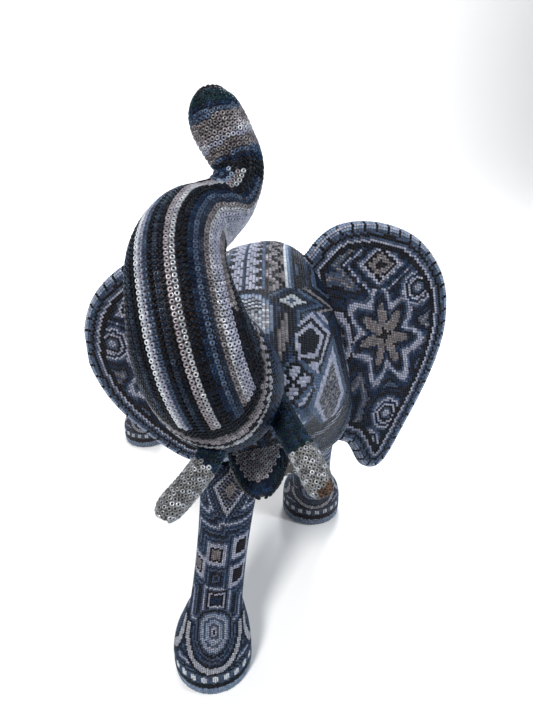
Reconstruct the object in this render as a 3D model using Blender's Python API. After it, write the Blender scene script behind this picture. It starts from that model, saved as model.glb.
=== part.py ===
"""Beaded elephant with a raised trunk: carved wood cores, glued up with pegs and plugs, each under
its own skin of wax and pressed-in seed beads.

The figure stands on the floor and faces -Y, with its head turned and tilted to its right (-X).
Sizes are in millimetres and angles in degrees; the meshes are in metres. Every form is a loft that
can be grown by a distance, so a skin, its socket and its neighbours' clearances share one shape.
"""

import math

import bmesh
import bpy
from mathutils import Matrix, Vector

METRES = 0.001

# Gaps and wall
GAP = 0.3  # between any two pieces that touch
SKIN = 2.1  # wax and beads together
PEG_PLAY = 0.3  # round a peg, and past each of its ends

# Torso
TORSO_LENGTH = 450.0
TORSO_WIDTH = 218.0
TORSO_HEIGHT = 222.0
TORSO_CENTRE_HEIGHT = 262.0
# along (-1 chest, 1 rump), width share, height share, lift
TORSO_PROFILE = (
    (-1.0, 0.18, 0.20, 26),
    (-0.95, 0.42, 0.46, 24),
    (-0.80, 0.70, 0.74, 16),
    (-0.52, 0.90, 0.93, 6),
    (-0.15, 0.98, 0.99, 0),
    (0.20, 1.0, 1.0, -4),
    (0.52, 0.95, 0.96, -2),
    (0.78, 0.76, 0.82, 6),
    (0.93, 0.47, 0.54, 12),
    (1.0, 0.18, 0.20, 16),
)
TORSO_SIDES = 18

# Head, in its own turned and tilted frame with the origin between the ears
HEAD_HEIGHT_OVER_FLOOR = 390.0
HEAD_AHEAD = 51.0  # of the chest
HEAD_ASIDE = -39.5
HEAD_TURN = -18.5
HEAD_TILT = -12.0
HEAD_LENGTH = 190.0  # from the origin to the end of the muzzle
HEAD_WIDTH = 104.0
HEAD_TAPER = 0.10  # how much narrower the top of a section is, and how much wider its bottom
HEAD_HEIGHT = 200.0
HEAD_POWER = 2.8  # of the superellipse that a section is
# along (-1 muzzle), top share, bottom share, width share, sway
HEAD_PROFILE = (
    (-0.90, 0.24, 0.19, 0.16, 0),
    (-0.86, 0.29, 0.15, 0.36, 0),
    (-0.74, 0.33, 0.10, 0.52, 0),
    (-0.60, 0.35, 0.03, 0.66, 0),
    (-0.46, 0.37, -0.08, 0.78, 0),
    (-0.31, 0.39, -0.21, 0.88, 0),
    (-0.15, 0.41, -0.34, 0.95, 0),
    (0.0, 0.41, -0.47, 0.99, 0),
    (0.13, 0.39, -0.55, 1.00, 0),
    (0.27, 0.32, -0.58, 0.96, -3),
    (0.45, 0.15, -0.58, 0.90, -9),
    (0.63, -0.07, -0.57, 0.82, -17),
    (0.79, -0.22, -0.55, 0.72, -23),
)
HEAD_SIDES = 18

# Trunk, in the head's frame: x, y, z, half width, half depth
TRUNK_PATH = (
    (-2, -100, 38, 13, 14),
    (-4, -134, 51, 20, 21),
    (-5, -166, 65, 23, 26.5),
    (-5, -184, 78, 23.5, 25.5),
    (-6, -194.5, 95, 21, 21.5),
    (-7, -190, 113, 17.6, 17.2),
    (-6.5, -181, 125, 15.6, 15.2),
    (-2.5, -168, 132, 13.6, 13.4),
    (4.5, -157, 134, 11.6, 11.2),
    (11.5, -149, 136.5, 9.4, 9.2),
    (17.3, -144, 143, 8, 8),
    (18.7, -141, 150, 8.2, 8.2),
    (16.5, -139, 158, 9, 8.9),
    (14.2, -138, 166, 9.1, 8.9),
    (13.5, -136.5, 172, 7.4, 7),
    (13.5, -135, 176.5, 3.4, 3.2),
)
TRUNK_SIDES = 16

# Ears: a flat outline, outwards and up from the middle of the root; the tips differ
EAR_OUTLINE = (
    (-16, 56),
    (-4, 78),
    (22, 88),
    (56, 80),
    (86, 59),
    (103, 24),
    (101, -16),
    (83, -54),
)
EAR_TIPS = {
    "left": ((54, -91), (26, -119), (9, -114), (0, -88), (-16, -60)),
    "right": ((54, -88), (29, -97), (11, -94), (0, -80), (-16, -60)),
}
EAR_THICKNESS = 6.0
EAR_RIM = 4.0  # how far in from the edge the rounding reaches
EAR_DISH = 9.0  # how far forward the outer edge curls
EAR_REACH = 105.0
EAR_ROOT_ASIDE = 46.0
EAR_ROOT_BACK = 8.0
EAR_ROOT_LIFT = {"left": -8.0, "right": 1.0}
EAR_SWEEP = {"left": 29.0, "right": 13.0}
EAR_POINTS = 24
EAR_INNER_SHARES = (0.62, 0.14)

# Tusks, in the head's frame: x, y, z, radius
TUSK_PATHS = {
    "left": (
        (13, -160, 54, 2.8),
        (17, -176, 51, 3.3),
        (22, -190, 45.5, 3.6),
        (26, -198, 40, 3.6),
        (28.5, -204, 34.5, 3.5),
        (29.5, -206.5, 32, 2.0),
    ),
    "right": (
        (-6, -166, 54, 2.6),
        (-8, -182, 53, 3.1),
        (-12, -197, 49.5, 3.2),
        (-19, -207.5, 46, 3.2),
        (-26, -215, 43, 3.1),
        (-28.5, -218, 42, 1.8),
    ),
}
TUSK_SIDES = 10

# Lower lip, in the head's frame: y, z, half width, half height
LIP_PATH = (
    (-128, 27, 12, 5),
    (-146, 23, 14, 5.5),
    (-160, 18, 12.5, 5),
    (-171, 14.5, 8, 4),
    (-177, 13, 3.5, 2.2),
)
LIP_SIDES = 12

# Legs: hip place as a share of the torso's half length, then foot offset from the hip
HIP_ASIDE = 48.0
HIP_HEIGHT = 235.0
LEGS = {
    "front_right": {"side": -1, "hip": -0.75, "splay": 44.0, "stride": -61.0},
    "front_left": {"side": 1, "hip": -0.62, "splay": 54.0, "stride": 112.0},
    "rear_right": {"side": -1, "hip": 0.70, "splay": 68.0, "stride": 89.0},
    "rear_left": {"side": 1, "hip": 0.68, "splay": 52.0, "stride": -33.0},
}
LEG_RADIUS = 24.8
FOOT_RADIUS = 40.0
FOOT_HEIGHT = 80.0
THIGH_RADIUS = 34.0
# height share of the foot, share of the way from the leg's radius to the foot's
FOOT_PROFILE = ((0.0, 0.84), (0.07, 0.98), (0.36, 1.0), (0.62, 0.78), (0.84, 0.34), (1.0, 0.06))
# height share from the foot to the hip, share of the way from the leg's radius to the thigh's
SHANK_PROFILE = ((0.3, 0.0), (0.6, 0.18), (0.85, 0.6), (1.0, 1.0))
LEG_SIDES = 14
SOLE_RISE = 1.0  # the skin stops this far above the floor

# Tail: behind the rump, height, radius
TAIL_ROOT_DEPTH = 14.0
TAIL_PATH = (
    (0, 300, 4.0),
    (18, 300, 4.0),
    (30, 292, 3.8),
    (36, 270, 3.4),
    (38, 240, 3.2),
    (40, 214, 4.6),
    (41, 196, 5.0),
    (41.5, 186, 2.2),
)
TAIL_SIDES = 8

# Pegs
NECK_PEG_RADIUS = 9.0
NECK_PEG_LENGTH = 60.0
NECK_PEG_DEPTH = 22.0  # of the peg's middle behind the chest
NECK_PEG_RISE = 52.0  # over the torso's middle
NECK_PEG_SHIFT = 0.2  # share of the way aside to the head
TRUNK_PEG_RADIUS = 5.0
TRUNK_PEG_LENGTH = 40.0
LEG_PEG_RADIUS = 7.0
LEG_PEG_LENGTH = 56.0
PEG_SIDES = 12

SIDES = {"left": 1, "right": -1}


def clear_scene():
    for item in list(bpy.data.objects):
        bpy.data.objects.remove(item)


def paint(name, colour, roughness, metallic=0.0):
    material = bpy.data.materials.new(name)
    material.use_nodes = True
    shader = material.node_tree.nodes["Principled BSDF"]
    shader.inputs["Base Color"].default_value = (*colour, 1.0)
    shader.inputs["Roughness"].default_value = roughness
    shader.inputs["Metallic"].default_value = metallic
    return material


def ring_edges(bm, places, capped):
    """A closed loop of edges through the places, with a face over it if capped."""
    made = bmesh.ops.create_circle(bm, cap_ends=capped, segments=len(places), radius=1.0)
    for vertex, place in zip(made["verts"], places):
        vertex.co = Vector(place) * METRES
    return list({edge for vertex in made["verts"] for edge in vertex.link_edges})


def loft(name, rings):
    """One closed mesh through rings of places, capped at both ends.

    Its quads are all split the same way, so that a form and its grown copies stay parallel.
    """
    bm = bmesh.new()
    loops = [ring_edges(bm, places, i in (0, len(rings) - 1)) for i, places in enumerate(rings)]
    for near, far in zip(loops, loops[1:]):
        bmesh.ops.bridge_loops(bm, edges=near + far)
    bmesh.ops.triangulate(bm, faces=bm.faces, quad_method="FIXED")
    bmesh.ops.recalc_face_normals(bm, faces=bm.faces)
    mesh = bpy.data.meshes.new(name)
    bm.to_mesh(mesh)
    bm.free()
    return mesh


def oval(centre, across, up, half_width, half_height, sides, power=2.0):
    """Places round a superellipse."""
    places = []
    for i in range(sides):
        turn = 2 * math.pi * i / sides
        c, s = math.cos(turn), math.sin(turn)
        x = math.copysign(abs(c) ** (2 / power), c) * half_width
        z = math.copysign(abs(s) ** (2 / power), s) * half_height
        places.append(centre + across * x + up * z)
    return places


def grown(stations, grow):
    """Offsets a row of (centre, half width, half height) outwards, along the profile's normals."""
    result = []
    last = len(stations) - 1
    for i, (centre, width, height) in enumerate(stations):
        before, after = stations[max(i - 1, 0)], stations[min(i + 1, last)]
        way = after[0] - before[0]
        run = way.length
        rise = (after[1] + after[2] - before[1] - before[2]) / 2
        steep = math.hypot(run, rise)
        shift = -rise / steep
        if i in (0, last):
            shift = -1.0 if i == 0 else 1.0
        spread = grow * max(run / steep, 0.5)
        result.append((centre + way.normalized() * shift * grow, width + spread, height + spread))
    return result


def tube_form(name, stations, grow, sides, side_hint, power=2.0):
    """A loft across its own path. side_hint is a direction that every section holds."""
    rows = grown(stations, grow)
    centres = [row[0] for row in stations]
    rings = []
    for i, (centre, width, height) in enumerate(rows):
        way = (centres[min(i + 1, len(centres) - 1)] - centres[max(i - 1, 0)]).normalized()
        across = (side_hint - way * side_hint.dot(way)).normalized()
        rings.append(oval(centre, across, way.cross(across), width, height, sides, power))
    return loft(name, rings)


def torso_stations():
    half = TORSO_LENGTH / 2
    return [
        (
            Vector((0, along * half, TORSO_CENTRE_HEIGHT + lift)),
            width * TORSO_WIDTH / 2,
            height * TORSO_HEIGHT / 2,
        )
        for along, width, height, lift in TORSO_PROFILE
    ]


def torso_form(name, grow):
    across, up = Vector((1, 0, 0)), Vector((0, 0, 1))
    rows = grown([(Vector((0, c.y, c.z)), w, h) for c, w, h in torso_stations()], grow)
    return loft(name, [oval(c, across, up, w, h, TORSO_SIDES) for c, w, h in rows])


def belly_height(aside, along):
    """The height of the torso's underside."""
    rows = torso_stations()
    for near, far in zip(rows, rows[1:]):
        if near[0].y <= along <= far[0].y:
            share = (along - near[0].y) / (far[0].y - near[0].y)
            centre = near[0].lerp(far[0], share)
            width = near[1] + (far[1] - near[1]) * share
            height = near[2] + (far[2] - near[2]) * share
            return centre.z - height * math.sqrt(max(1 - (aside / width) ** 2, 0.0))
    return TORSO_CENTRE_HEIGHT


def head_form(name, grow):
    across, up = Vector((1, 0, 0)), Vector((0, 0, 1))
    rows = []
    for along, top, bottom, width, sway in HEAD_PROFILE:
        middle = (top + bottom) / 2 * HEAD_HEIGHT
        centre = Vector((sway, along * HEAD_LENGTH, middle))
        rows.append((centre, width * HEAD_WIDTH / 2, (top - bottom) / 2 * HEAD_HEIGHT))
    flat = grown([(Vector((0, c.y, 0)), w, h) for c, w, h in rows], grow)
    rings = []
    for (centre, _, _), (moved, width, height) in zip(rows, flat):
        middle = Vector((centre.x, moved.y, centre.z))
        ring = oval(middle, across, up, width, height, HEAD_SIDES, HEAD_POWER)
        for place in ring:
            above = (place.z - middle.z) / height
            place.x = middle.x + (place.x - middle.x) * (1 - HEAD_TAPER * above)
        rings.append(ring)
    return loft(name, rings)


def trunk_stations():
    return [(Vector((x, y, z)), width, depth) for x, y, z, width, depth in TRUNK_PATH]


def trunk_form(name, grow):
    return tube_form(name, trunk_stations(), grow, TRUNK_SIDES, Vector((1, 0, 0)))


def tusk_form(name, grow, side):
    stations = [(Vector((x, y, z)), radius, radius) for x, y, z, radius in TUSK_PATHS[side]]
    return tube_form(name, stations, grow, TUSK_SIDES, Vector((0, 0, 1)))


def lip_form(name, grow):
    stations = [(Vector((0, y, z)), width, height) for y, z, width, height in LIP_PATH]
    return tube_form(name, stations, grow, LIP_SIDES, Vector((1, 0, 0)))


def smooth_loop(points, count):
    """Evenly numbered places on a closed Catmull-Rom curve."""
    places = []
    total = len(points)
    for i in range(count):
        at = i * total / count
        k, t = int(at), at - int(at)
        a, b, c, d = (Vector(points[(k + j) % total]) for j in (-1, 0, 1, 2))
        places.append(
            0.5 * (2 * b + (c - a) * t + (2 * a - 5 * b + 4 * c - d) * t * t
                   + (3 * b - a - 3 * c + d) * t ** 3)
        )
    return places


def offset_loop(places, distance):
    """The loop, moved outwards. It runs clockwise."""
    total = len(places)
    moved = []
    for i, place in enumerate(places):
        way = (places[(i + 1) % total] - places[i - 1]).normalized()
        moved.append(place + Vector((-way.y, way.x)) * distance)
    return moved


def ear_form(name, grow, side):
    sign, sweep = SIDES[side], math.radians(EAR_SWEEP[side])
    root = Vector((sign * EAR_ROOT_ASIDE, EAR_ROOT_BACK, EAR_ROOT_LIFT[side]))
    out = Vector((sign * math.cos(sweep), math.sin(sweep), 0))
    up = Vector((0, 0, 1))
    back = Vector((-sign * math.sin(sweep), math.cos(sweep), 0))
    outline = smooth_loop(EAR_OUTLINE + EAR_TIPS[side], EAR_POINTS)
    middle = sum(outline, Vector((0, 0))) / len(outline)

    def placed(flat, depth):
        curl = EAR_DISH * (max(flat.x, 0) / EAR_REACH) ** 2
        return root + out * flat.x + up * flat.y + back * (depth - curl)

    half = EAR_THICKNESS / 2
    rings = []
    for share in reversed(EAR_INNER_SHARES):
        rings.append(([middle + (p - middle) * share for p in outline], -half - grow))
    for turn in (-90, -45, 0, 45, 90):
        c, s = math.cos(math.radians(turn)), math.sin(math.radians(turn))
        edge = offset_loop(outline, EAR_RIM * (c - 1) + grow * c)
        rings.append((edge, (half + grow) * s))
    for share in EAR_INNER_SHARES:
        rings.append(([middle + (p - middle) * share for p in outline], half + grow))
    return loft(name, [[placed(p, depth) for p in loop] for loop, depth in rings])


def leg_ends(leg):
    """The hip, and the place of the foot's middle on the floor."""
    hip = Vector((leg["side"] * HIP_ASIDE, leg["hip"] * TORSO_LENGTH / 2, HIP_HEIGHT))
    foot = Vector((hip.x + leg["side"] * leg["splay"], hip.y + leg["stride"], 0))
    return hip, foot


def leg_axis(leg, height):
    """Where the leg's middle is at a height: plumb over the foot, then leaning to the hip."""
    hip, foot = leg_ends(leg)
    bend = FOOT_HEIGHT * 0.5
    share = max(height - bend, 0) / (hip.z - bend)
    return Vector((foot.x + (hip.x - foot.x) * share, foot.y + (hip.y - foot.y) * share, height))


def leg_form(name, grow, leg):
    across, forward = Vector((1, 0, 0)), Vector((0, 1, 0))
    stations = []
    for share, spread in FOOT_PROFILE:
        height = share * FOOT_HEIGHT
        stations.append((height, LEG_RADIUS + (FOOT_RADIUS - LEG_RADIUS) * spread))
    for share, spread in SHANK_PROFILE:
        height = FOOT_HEIGHT + (HIP_HEIGHT - FOOT_HEIGHT) * share
        stations.append((height, LEG_RADIUS + (THIGH_RADIUS - LEG_RADIUS) * spread))
    rows = grown([(leg_axis(leg, height), r, r) for height, r in stations], grow)
    return loft(name, [oval(c, across, forward, w, h, LEG_SIDES) for c, w, h in rows])


def tail_form(name, grow):
    start = TORSO_LENGTH / 2 - TAIL_ROOT_DEPTH
    stations = [(Vector((0, start + y, z)), radius, radius) for y, z, radius in TAIL_PATH]
    return tube_form(name, stations, grow, TAIL_SIDES, Vector((1, 0, 0)))


def peg_mesh(name, middle, way, radius, length):
    turn = way.normalized().to_track_quat("Z", "Y").to_matrix().to_4x4()
    bm = bmesh.new()
    bmesh.ops.create_cone(
        bm,
        cap_ends=True,
        segments=PEG_SIDES,
        radius1=radius * METRES,
        radius2=radius * METRES,
        depth=length * METRES,
        matrix=Matrix.Translation(middle * METRES) @ turn,
    )
    mesh = bpy.data.meshes.new(name)
    bm.to_mesh(mesh)
    bm.free()
    return mesh


def add(name, mesh, parent=None, material=None):
    """Puts a mesh in the scene. Without a material it is a cutter."""
    item = bpy.data.objects.new(name, mesh)
    bpy.context.collection.objects.link(item)
    item.parent = parent
    if material is None:
        item.hide_render = True
        item.display_type = "WIRE"
    else:
        mesh.materials.append(material)
        mesh.shade_smooth()
        mesh.set_sharp_from_angle(angle=math.radians(40))
    return item


def cut(item, cutters):
    for cutter in cutters:
        step = item.modifiers.new(cutter.name, "BOOLEAN")
        step.operation = "DIFFERENCE"
        step.solver = "EXACT"
        step.object = cutter


def add_part(name, form, parent, wood, beads):
    """A part's wood core and bead skin, and the three cutters that its neighbours use."""
    part = {
        "core": add(name + "_core", form(name + "_core", 0.0), parent, wood),
        "skin": add(name + "_bead_skin", form(name + "_bead_skin", GAP + SKIN), parent, beads),
        "socket": add(name + "_socket", form(name + "_socket", GAP), parent),
        "outside": add(name + "_outside", form(name + "_outside", SKIN + 2 * GAP), parent),
    }
    cut(part["skin"], [part["socket"]])
    return part


def butt_joint(child, host):
    """The child's wood stops at the host's wood, and its skin at the host's skin."""
    cut(child["core"], [host["socket"]])
    cut(child["skin"], [host["outside"]])
    cut(host["skin"], [child["socket"]])


def plug_joint(child, host):
    """The child's wood goes on into a socket in the host's wood."""
    cut(host["core"], [child["socket"]])
    cut(child["skin"], [host["outside"]])
    cut(host["skin"], [child["socket"]])


def add_peg(name, middle, way, radius, length, parent, wood, joined):
    """A peg and its hole through both of the cores that it joins."""
    add(name, peg_mesh(name, middle, way, radius, length), parent, wood)
    hole = peg_mesh(name + "_hole", middle, way, radius + PEG_PLAY, length + 2 * PEG_PLAY)
    hole_cutter = add(name + "_hole", hole, parent)
    for part in joined:
        cut(part["core"], [hole_cutter])


def sole_cutter():
    """A slab on the floor that trims the legs' skins."""
    bm = bmesh.new()
    size = 3 * TORSO_LENGTH
    depth = 4 * (SKIN + GAP)
    scale = Matrix.Diagonal((size * METRES, size * METRES, depth * METRES, 1))
    drop = Matrix.Translation((0, 0, (SOLE_RISE - depth / 2) * METRES))
    bmesh.ops.create_cube(bm, size=1.0, matrix=drop @ scale)
    mesh = bpy.data.meshes.new("sole_cutter")
    bm.to_mesh(mesh)
    bm.free()
    return add("sole_cutter", mesh)


def centre_on_floor(root):
    """Moves the figure so that its box stands centred on the origin."""
    bpy.context.view_layer.update()
    depsgraph = bpy.context.evaluated_depsgraph_get()
    corners = []
    for item in bpy.context.scene.objects:
        if item.type == "MESH" and not item.hide_render:
            shown = item.evaluated_get(depsgraph)
            corners += [shown.matrix_world @ vertex.co for vertex in shown.data.vertices]
    middle = [(min(p[k] for p in corners) + max(p[k] for p in corners)) / 2 for k in (0, 1)]
    root.location = (-middle[0], -middle[1], 0)


def build():
    clear_scene()
    root = bpy.data.objects.new("figure", None)
    head_frame = bpy.data.objects.new("head_frame", None)
    for empty in (root, head_frame):
        bpy.context.collection.objects.link(empty)
    head_frame.parent = root
    head_frame.location = (
        HEAD_ASIDE * METRES,
        -(TORSO_LENGTH / 2 + HEAD_AHEAD) * METRES,
        HEAD_HEIGHT_OVER_FLOOR * METRES,
    )
    head_frame.rotation_euler = (0, math.radians(HEAD_TILT), math.radians(HEAD_TURN))

    wood = paint("carved_wood", (0.42, 0.27, 0.15), 0.75)
    peg_wood = paint("peg_wood", (0.55, 0.38, 0.22), 0.7)
    dark = paint("dark_beads", (0.05, 0.06, 0.09), 0.25)
    grey = paint("grey_beads", (0.30, 0.31, 0.36), 0.25)
    pearl = paint("pearl_beads", (0.62, 0.61, 0.63), 0.25)

    torso = add_part("torso", torso_form, root, wood, grey)
    head = add_part("head", head_form, head_frame, wood, grey)
    trunk = add_part("trunk", trunk_form, head_frame, wood, dark)
    lip = add_part("lower_lip", lip_form, head_frame, wood, pearl)
    tail = add_part("tail", tail_form, root, wood, dark)
    butt_joint(head, torso)
    butt_joint(trunk, head)
    plug_joint(lip, head)
    plug_joint(tail, torso)
    for side in SIDES:
        ear = add_part(
            side + "_ear", lambda name, grow, s=side: ear_form(name, grow, s), head_frame, wood, grey
        )
        tusk = add_part(
            side + "_tusk", lambda name, grow, s=side: tusk_form(name, grow, s), head_frame, wood, pearl
        )
        plug_joint(ear, head)
        plug_joint(tusk, head)
        plug_joint(tusk, trunk)
    plug_joint(lip, trunk)

    floor = sole_cutter()
    for where, leg in LEGS.items():
        name = where + "_leg"
        part = add_part(name, lambda n, grow, k=leg: leg_form(n, grow, k), root, wood, grey)
        butt_joint(part, torso)
        cut(part["skin"], [floor])
        hip, _ = leg_ends(leg)
        joint = leg_axis(leg, belly_height(hip.x, hip.y))
        way = leg_axis(leg, HIP_HEIGHT) - leg_axis(leg, FOOT_HEIGHT)
        add_peg(name + "_peg", joint, way, LEG_PEG_RADIUS, LEG_PEG_LENGTH, root, peg_wood, (part, torso))

    root_place, outer_place = trunk_stations()[1][0], trunk_stations()[3][0]
    add_peg(
        "trunk_peg",
        (root_place + outer_place) / 2,
        outer_place - root_place,
        TRUNK_PEG_RADIUS,
        TRUNK_PEG_LENGTH,
        head_frame,
        peg_wood,
        (trunk, head),
    )
    chest = Vector((
        HEAD_ASIDE * NECK_PEG_SHIFT,
        -TORSO_LENGTH / 2 + NECK_PEG_DEPTH,
        TORSO_CENTRE_HEIGHT + NECK_PEG_RISE,
    ))
    add_peg(
        "neck_peg",
        chest,
        Vector((-HEAD_ASIDE, HEAD_AHEAD * 2, 0)),
        NECK_PEG_RADIUS,
        NECK_PEG_LENGTH,
        root,
        peg_wood,
        (head, torso),
    )
    centre_on_floor(root)


build()
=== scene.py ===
"""Looks of the beaded elephant: every part gets a bed of brown wax with glass seed beads pressed into it.

A part is a smooth surface through the same stations as its wood. Beads are laid on it in columns that
run lengthwise from a centre line, one bead apart. A part's pattern gives each bead a tone from its
column, its place along the part and its number, so that the motifs are built bead by bead.
Sizes are in millimetres until a mesh is made. The floor, the lights and the camera are in metres.
"""

import math

import bmesh
import bpy
import numpy as np
from mathutils import Euler, Matrix, Vector
from mathutils.bvhtree import BVHTree
from mathutils.kdtree import KDTree


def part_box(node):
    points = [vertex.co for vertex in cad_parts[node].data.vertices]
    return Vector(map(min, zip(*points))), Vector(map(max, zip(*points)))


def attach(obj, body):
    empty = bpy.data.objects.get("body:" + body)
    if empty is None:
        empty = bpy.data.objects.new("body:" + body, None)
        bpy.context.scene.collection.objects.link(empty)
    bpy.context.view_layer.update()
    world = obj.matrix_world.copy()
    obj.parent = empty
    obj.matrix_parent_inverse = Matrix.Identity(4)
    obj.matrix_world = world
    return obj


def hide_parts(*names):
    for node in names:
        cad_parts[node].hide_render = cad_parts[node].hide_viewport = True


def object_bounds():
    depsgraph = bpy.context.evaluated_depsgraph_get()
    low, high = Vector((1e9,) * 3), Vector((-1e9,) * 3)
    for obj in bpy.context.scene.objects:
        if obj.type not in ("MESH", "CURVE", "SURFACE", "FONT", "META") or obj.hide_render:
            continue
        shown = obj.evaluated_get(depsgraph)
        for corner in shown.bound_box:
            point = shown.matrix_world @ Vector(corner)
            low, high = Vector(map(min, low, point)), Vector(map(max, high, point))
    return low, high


MM = 0.001
SEED = 11

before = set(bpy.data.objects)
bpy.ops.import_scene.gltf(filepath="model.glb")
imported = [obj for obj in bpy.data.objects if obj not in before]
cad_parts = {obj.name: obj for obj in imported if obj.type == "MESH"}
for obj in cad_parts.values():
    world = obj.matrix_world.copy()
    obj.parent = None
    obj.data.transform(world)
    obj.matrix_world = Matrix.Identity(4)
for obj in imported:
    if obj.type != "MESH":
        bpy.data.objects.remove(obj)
cad_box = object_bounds()

# ------------ sizes shared with the wood

BEAD = 2.12  # outer diameter
WAX_RISE = 1.72  # the wax's surface over the wood
BEAD_RISE = 2.0  # a bead's middle over the wood
ROW_STEP = 2.1  # bead to bead along a column
COLUMN_STEP = 1.98  # column to column
CROWDED = 0.70  # share of a step under which one of two beads is left out

TORSO_LENGTH, TORSO_WIDTH, TORSO_HEIGHT, TORSO_CENTRE_HEIGHT = 450.0, 218.0, 222.0, 262.0
TORSO_PROFILE = (
    (-1.0, 0.18, 0.20, 26),
    (-0.95, 0.42, 0.46, 24),
    (-0.80, 0.70, 0.74, 16),
    (-0.52, 0.90, 0.93, 6),
    (-0.15, 0.98, 0.99, 0),
    (0.20, 1.0, 1.0, -4),
    (0.52, 0.95, 0.96, -2),
    (0.78, 0.76, 0.82, 6),
    (0.93, 0.47, 0.54, 12),
    (1.0, 0.18, 0.20, 16),
)
HEAD_PLACE = (-39.5, -276.0, 390.0)
HEAD_TURNS = (0.0, -12.0, -18.5)
HEAD_LENGTH, HEAD_WIDTH, HEAD_HEIGHT, HEAD_TAPER, HEAD_POWER = 190.0, 104.0, 200.0, 0.10, 2.8
HEAD_PROFILE = (
    (-0.90, 0.24, 0.19, 0.16, 0),
    (-0.86, 0.29, 0.15, 0.36, 0),
    (-0.74, 0.33, 0.10, 0.52, 0),
    (-0.60, 0.35, 0.03, 0.66, 0),
    (-0.46, 0.37, -0.08, 0.78, 0),
    (-0.31, 0.39, -0.21, 0.88, 0),
    (-0.15, 0.41, -0.34, 0.95, 0),
    (0.0, 0.41, -0.47, 0.99, 0),
    (0.13, 0.39, -0.55, 1.00, 0),
    (0.27, 0.32, -0.58, 0.96, -3),
    (0.45, 0.15, -0.58, 0.90, -9),
    (0.63, -0.07, -0.57, 0.82, -17),
    (0.79, -0.22, -0.55, 0.72, -23),
)
TRUNK_PATH = (
    (-2, -100, 38, 13, 14),
    (-4, -134, 51, 20, 21),
    (-5, -166, 65, 23, 26.5),
    (-5, -184, 78, 23.5, 25.5),
    (-6, -194.5, 95, 21, 21.5),
    (-7, -190, 113, 17.6, 17.2),
    (-6.5, -181, 125, 15.6, 15.2),
    (-2.5, -168, 132, 13.6, 13.4),
    (4.5, -157, 134, 11.6, 11.2),
    (11.5, -149, 136.5, 9.4, 9.2),
    (17.3, -144, 143, 8, 8),
    (18.7, -141, 150, 8.2, 8.2),
    (16.5, -139, 158, 9, 8.9),
    (14.2, -138, 166, 9.1, 8.9),
    (13.5, -136.5, 172, 7.4, 7),
    (13.5, -135, 176.5, 3.4, 3.2),
)
EAR_OUTLINE = (
    (-16, 56), (-4, 78), (22, 88), (56, 80), (86, 59), (103, 24), (101, -16), (83, -54),
)
EAR_TIPS = {
    "left": ((54, -91), (26, -119), (9, -114), (0, -88), (-16, -60)),
    "right": ((54, -88), (29, -97), (11, -94), (0, -80), (-16, -60)),
}
EAR_THICKNESS, EAR_RIM, EAR_DISH, EAR_REACH = 6.0, 4.0, 9.0, 105.0
EAR_ROOT = {"left": (46.0, 8.0, -8.0), "right": (-46.0, 8.0, 1.0)}
EAR_SWEEP = {"left": 29.0, "right": 13.0}
TUSK_PATHS = {
    "left": (
        (13, -160, 54, 2.8), (17, -176, 51, 3.3), (22, -190, 45.5, 3.6),
        (26, -198, 40, 3.6), (28.5, -204, 34.5, 3.5), (29.5, -206.5, 32, 2.0),
    ),
    "right": (
        (-6, -166, 54, 2.6), (-8, -182, 53, 3.1), (-12, -197, 49.5, 3.2),
        (-19, -207.5, 46, 3.2), (-26, -215, 43, 3.1), (-28.5, -218, 42, 1.8),
    ),
}
LIP_PATH = (
    (-128, 27, 12, 5), (-146, 23, 14, 5.5), (-160, 18, 12.5, 5), (-171, 14.5, 8, 4),
    (-177, 13, 3.5, 2.2),
)
HIP_ASIDE, HIP_HEIGHT = 48.0, 235.0
LEGS = {
    "front_right": (-1, -0.75, 44.0, -61.0),
    "front_left": (1, -0.62, 54.0, 112.0),
    "rear_right": (-1, 0.70, 68.0, 89.0),
    "rear_left": (1, 0.68, 52.0, -33.0),
}
LEG_RADIUS, FOOT_RADIUS, FOOT_HEIGHT, THIGH_RADIUS = 24.8, 40.0, 80.0, 34.0
LEAN_START = FOOT_HEIGHT * 0.5  # above this a leg leans towards its hip
FOOT_PROFILE = ((0.0, 0.84), (0.07, 0.98), (0.36, 1.0), (0.62, 0.78), (0.84, 0.34), (1.0, 0.06))
SHANK_PROFILE = ((0.3, 0.0), (0.6, 0.18), (0.85, 0.6), (1.0, 1.0))
TAIL_START = 211.0
TAIL_PATH = (
    (0, 300, 4.0), (18, 300, 4.0), (30, 292, 3.8), (36, 270, 3.4),
    (38, 240, 3.2), (40, 214, 4.6), (41, 196, 5.0), (41.5, 186, 2.2),
)

# The figure's own axes: it faces -Y, and the middle of its torso is over the origin
torso_low, torso_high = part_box("torso_core")
FIGURE = Matrix.Translation(
    Vector(((torso_low.x + torso_high.x) / 2, (torso_low.y + torso_high.y) / 2, 0)) / MM
)
HEAD_TURN = Euler([math.radians(angle) for angle in HEAD_TURNS]).to_matrix().to_4x4()
HEAD = FIGURE @ Matrix.Translation(HEAD_PLACE) @ HEAD_TURN

# ------------ tones of glass

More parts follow.
